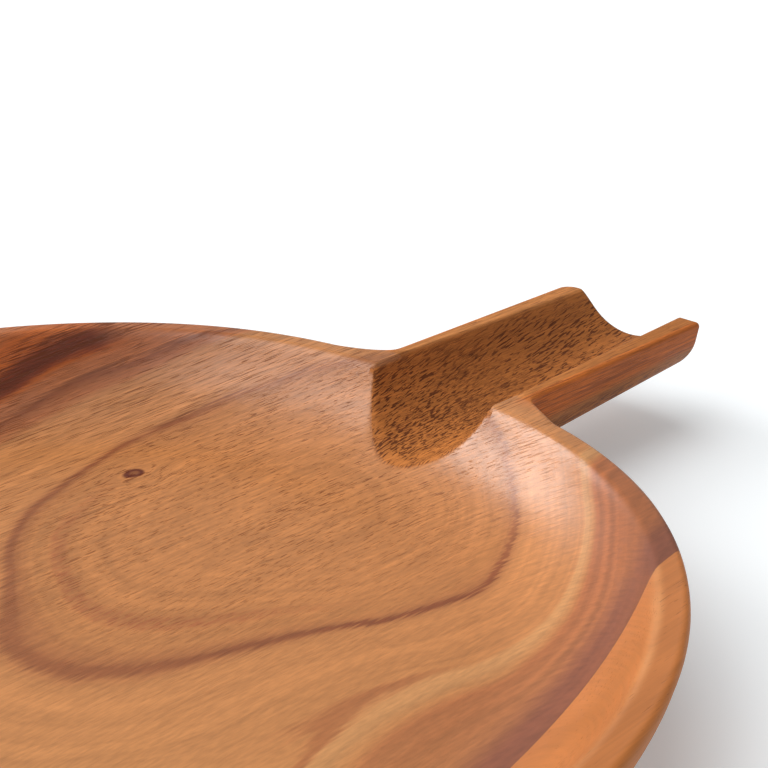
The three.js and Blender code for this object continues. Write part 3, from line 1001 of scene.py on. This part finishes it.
def side_wood(colours):
    """The side board: plain orange-brown wood with soft blotches and a painted highlight along the crest
    inside the rim.
    """
    material, w, shader, place = new_wood("side_wood")
    distance = w.math("ABSOLUTE", w.split(place)[1])
    grain = w.use(shared_group("Fibres", fibres), Place=place, Ring=distance)
    tone = w.ramp(grain["Cloud"], ((0.3, opaque(colours.orange, 0.9)), (0.7, opaque(colours.orange, 1.06))))
    tone = w.shaded(tone, grain["Streak"], 0.9, 1.05)
    # Painted highlight: a pale streak along the rounded crest inside the rim, broken up by the blotches
    lip_highlight = w.times(w.band(from_axis(w, place), *LIP_HIGHLIGHT_RUN), w.span(grain["Cloud"], *LIP_HIGHLIGHT_BROKEN))
    tone = w.mix(lip_highlight, tone, opaque(colours.pale, 1.1))
    dashes = w.times(w.dashed(place, *SIDE_PORES), SIDE_PORE_SHARE)
    tone = w.mix(dashes, tone, opaque(colours.pore))
    finish_wood(w, shader, tone, dashes, grain["Streak"], grain["Cloud"], tray_outside(w, place))
    return material


def seen_directly(w):
    """1 for rays that show the background itself, 0 for rays that carry light to the tray."""
    path = w.add("ShaderNodeLightPath").outputs
    mirrored = w.math("MAXIMUM", path["Is Glossy Ray"], path["Is Transmission Ray"])
    return w.math("MAXIMUM", path["Is Camera Ray"], mirrored)


def pale_floor(studio):
    """A matt pale floor that keeps the tray's shadow and is white where the light reaches it."""
    material, w, shader = new_material("pale_floor")
    sockets = {
        "Base Color": opaque(studio.floor_colour),
        "Roughness": 0.9,
        "Specular IOR Level": 0.1,
        "Emission Color": (1, 1, 1, 1),
        "Emission Strength": w.times(seen_directly(w), studio.floor_glow),
    }
    for name, value in sockets.items():
        w.join(value, shader.inputs[name])
    return material


def pale_world(studio):
    """A pale surround with gentle light on the tray, dim overhead where the tray's polish mirrors it."""
    world = bpy.data.worlds.new("pale_surround")
    world.use_nodes = True
    w = Wiring(world.node_tree)
    background = world.node_tree.nodes["Background"]
    background.inputs["Color"].default_value = (1, 1, 1, 1)
    up = w.times(w.split(w.add("ShaderNodeNewGeometry").outputs["Incoming"])[2], -1.0)
    mirrored = w.add("ShaderNodeLightPath").outputs["Is Glossy Ray"]
    dim = w.times(mirrored, w.span(up, *OVERHEAD_DIM))
    w.join(w.times(w.math("SUBTRACT", 1.0, dim), studio.ambient), background.inputs["Strength"])
    bpy.context.scene.world = world


def soft_sun(name, source, spread, strength):
    """Even light from a wide patch of the surround."""
    lamp = bpy.data.lights.new(name, "SUN")
    lamp.energy = strength
    lamp.angle = spread
    holder = bpy.data.objects.new(name, lamp)
    holder.rotation_euler = Vector(source).to_track_quat("Z", "Y").to_euler()
    bpy.context.scene.collection.objects.link(holder)
    return holder


class TRAY_OT_stage(bpy.types.Operator):
    """Sets up the floor, the surround, the lamps and the camera"""

    bl_idname = "tray.stage"
    bl_label = "Stage"

    def execute(self, context):
        scene = context.scene
        studio = scene.tray_studio
        scene.view_settings.view_transform = "Standard"
        bm = bmesh.new()
        bmesh.ops.create_grid(bm, x_segments=1, y_segments=1, size=FLOOR_HALF)
        mesh = bpy.data.meshes.new("floor")
        bm.to_mesh(mesh)
        bm.free()
        mesh.materials.append(pale_floor(studio))
        floor = bpy.data.objects.new("floor", mesh)
        floor.location.z = -FLOOR_GAP
        scene.collection.objects.link(floor)
        pale_world(studio)
        key = soft_sun("key_light", studio.key_source, studio.key_spread, studio.key_strength)
        key.visible_glossy = False
        soft_sun("side_light", studio.side_source, studio.side_spread, studio.side_strength)
        soft_sun("sheen_light", studio.sheen_source, studio.sheen_spread, studio.sheen_strength)
        lens = bpy.data.cameras.new("camera")
        lens.lens = CAMERA_LENS
        lens.sensor_width = SENSOR_WIDTH
        camera = bpy.data.objects.new("camera", lens)
        camera.location = CAMERA_PLACE
        camera.rotation_euler = CAMERA_TURN
        scene.collection.objects.link(camera)
        scene.camera = camera
        return {"FINISHED"}


class TRAY_OT_main_board(bpy.types.Operator):
    """Carves the wide board with most of the bowl and the whole trough"""

    bl_idname = "tray.main_board"
    bl_label = "Main Board"

    def execute(self, context):
        board("main_board_wood", main_wood(context.scene.tray_colours), 1, "main_board")
        return {"FINISHED"}


class TRAY_OT_side_board(bpy.types.Operator):
    """Carves the narrow board that is glued to the main board's edge"""

    bl_idname = "tray.side_board"
    bl_label = "Side Board"

    def execute(self, context):
        board("side_board_wood", side_wood(context.scene.tray_colours), -1, "side_board")
        return {"FINISHED"}


OPERATORS = (TRAY_OT_stage, TRAY_OT_main_board, TRAY_OT_side_board)
SETTINGS = {"tray_sizes": TraySizes, "tray_colours": WoodColours, "tray_studio": Studio}


class TRAY_PT_panel(bpy.types.Panel):
    """Lists the tray's settings and the steps that make it"""

    bl_idname = "TRAY_PT_panel"
    bl_label = "Serving Tray"
    bl_space_type = "VIEW_3D"
    bl_region_type = "UI"
    bl_category = "Tray"

    def draw(self, context):
        for settings, group in SETTINGS.items():
            box = self.layout.box()
            for name in group.__annotations__:
                box.prop(getattr(context.scene, settings), name)
        for operator in OPERATORS:
            self.layout.operator(operator.bl_idname)


CLASSES = (*SETTINGS.values(), *OPERATORS, TRAY_PT_panel)


def register():
    for cls in CLASSES:
        bpy.utils.register_class(cls)
    for name, group in SETTINGS.items():
        setattr(bpy.types.Scene, name, PointerProperty(type=group))


def unregister():
    for name in SETTINGS:
        delattr(bpy.types.Scene, name)
    for cls in reversed(CLASSES):
        bpy.utils.unregister_class(cls)


def main():
    register()
    bpy.ops.tray.stage()
    bpy.ops.tray.main_board()
    bpy.ops.tray.side_board()


if __name__ == "__main__":
    main()
